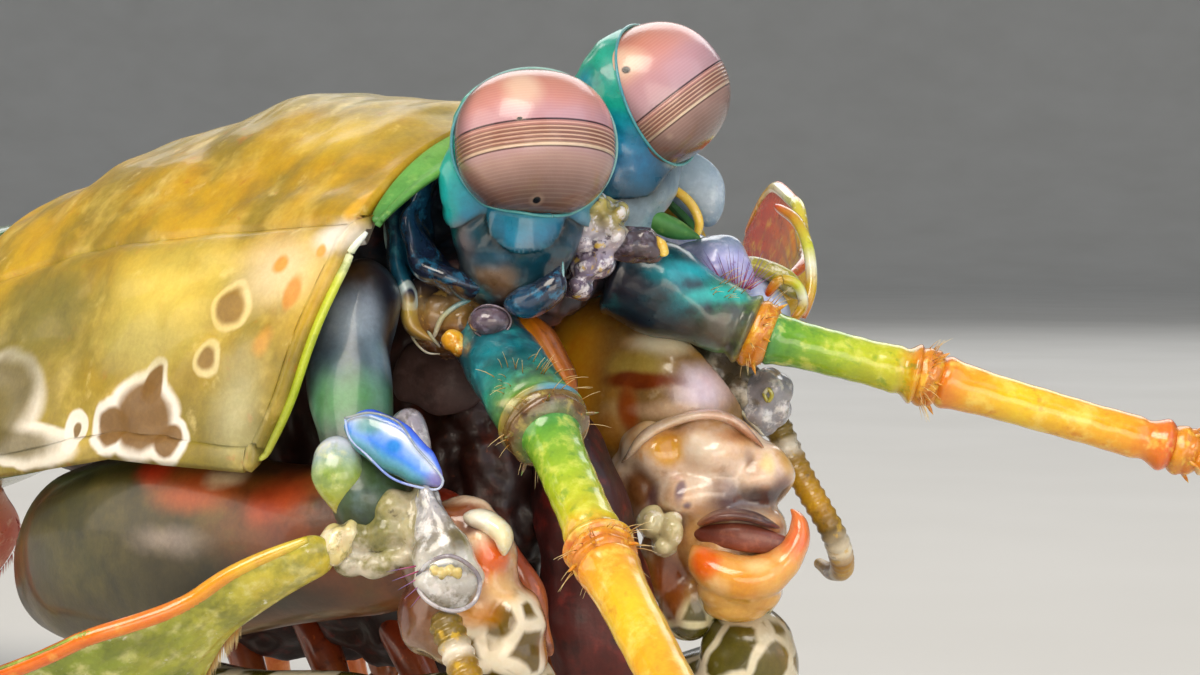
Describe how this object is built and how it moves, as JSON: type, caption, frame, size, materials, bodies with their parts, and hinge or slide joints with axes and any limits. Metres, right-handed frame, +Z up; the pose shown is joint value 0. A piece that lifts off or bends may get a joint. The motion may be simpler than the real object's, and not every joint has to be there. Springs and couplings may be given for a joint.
{
  "type": "peacock mantis shrimp model",
  "caption": "Life-size still mantis shrimp standing with its head raised, stalked eyes, folded striking limbs and a tail fan on the floor.",
  "frame": {"origin": "bottom centre of the whole animal's box, on the floor it stands on", "axes": "+X towards the nose, +Y to the animal's left, +Z up"},
  "size_m": [0.2002, 0.072, 0.0482],
  "materials": {
    "cornea": "glossy, pinkish brown with a striped band",
    "eyestalk": "smooth, teal to blue",
    "antennule": "smooth, blue-green to yellow and orange",
    "antennal_scale": "smooth, olive yellow with an orange edge",
    "antenna": "smooth, grey white to green",
    "carapace": "glossy, golden olive with brown spots in a pale net",
    "head": "smooth, dark blue with purple and brown",
    "raptorial": "glossy, cream, orange and olive in a net",
    "maxilliped": "smooth, red brown",
    "leg": "smooth, orange red",
    "body": "glossy, olive green with banded edges",
    "tail_fan": "glossy, green with red and blue edges"
  },
  "bodies": {
    "root": {"abdomen_1": "body", "abdomen_2": "body", "abdomen_3": "body", "abdomen_4": "body", "abdomen_5": "body", "abdomen_6": "body", "antenna_left_base": "antenna", "antenna_left_stalk": "antenna", "antenna_left_whip": "antenna", "antenna_right_base": "antenna", "antenna_right_stalk": "antenna", "antenna_right_whip": "antenna", "antennal_scale_left": "antennal_scale", "antennal_scale_right": "antennal_scale", "antennule_left_base": "antennule", "antennule_left_middle": "antennule", "antennule_left_outer": "antennule", "antennule_left_whips": "antennule", "antennule_right_base": "antennule", "antennule_right_middle": "antennule", "antennule_right_outer": "antennule", "antennule_right_whips": "antennule", "carapace": "carapace", "eye_left": "cornea", "eye_right": "cornea", "eyestalk_left": "eyestalk", "eyestalk_right": "eyestalk", "head_front": "head", "leg_1_left": "leg", "leg_1_right": "leg", "leg_2_left": "leg", "leg_2_right": "leg", "leg_3_left": "leg", "leg_3_right": "leg", "maxilliped_1_left": "maxilliped", "maxilliped_1_right": "maxilliped", "maxilliped_3_left": "maxilliped", "maxilliped_3_right": "maxilliped", "maxilliped_4_left": "maxilliped", "maxilliped_4_right": "maxilliped", "maxilliped_5_left": "maxilliped", "maxilliped_5_right": "maxilliped", "mouthparts": "head", "raptorial_left_carpus": "raptorial", "raptorial_left_dactyl": "raptorial", "raptorial_left_merus": "raptorial", "raptorial_left_propodus": "raptorial", "raptorial_right_carpus": "raptorial", "raptorial_right_dactyl": "raptorial", "raptorial_right_merus": "raptorial", "raptorial_right_propodus": "raptorial", "rostral_plate": "carapace", "telson": "tail_fan", "thorax_6": "body", "thorax_7": "body", "thorax_8": "body", "trunk_core": "body", "uropod_left": "tail_fan", "uropod_right": "tail_fan"}
  },
  "joints": []
}
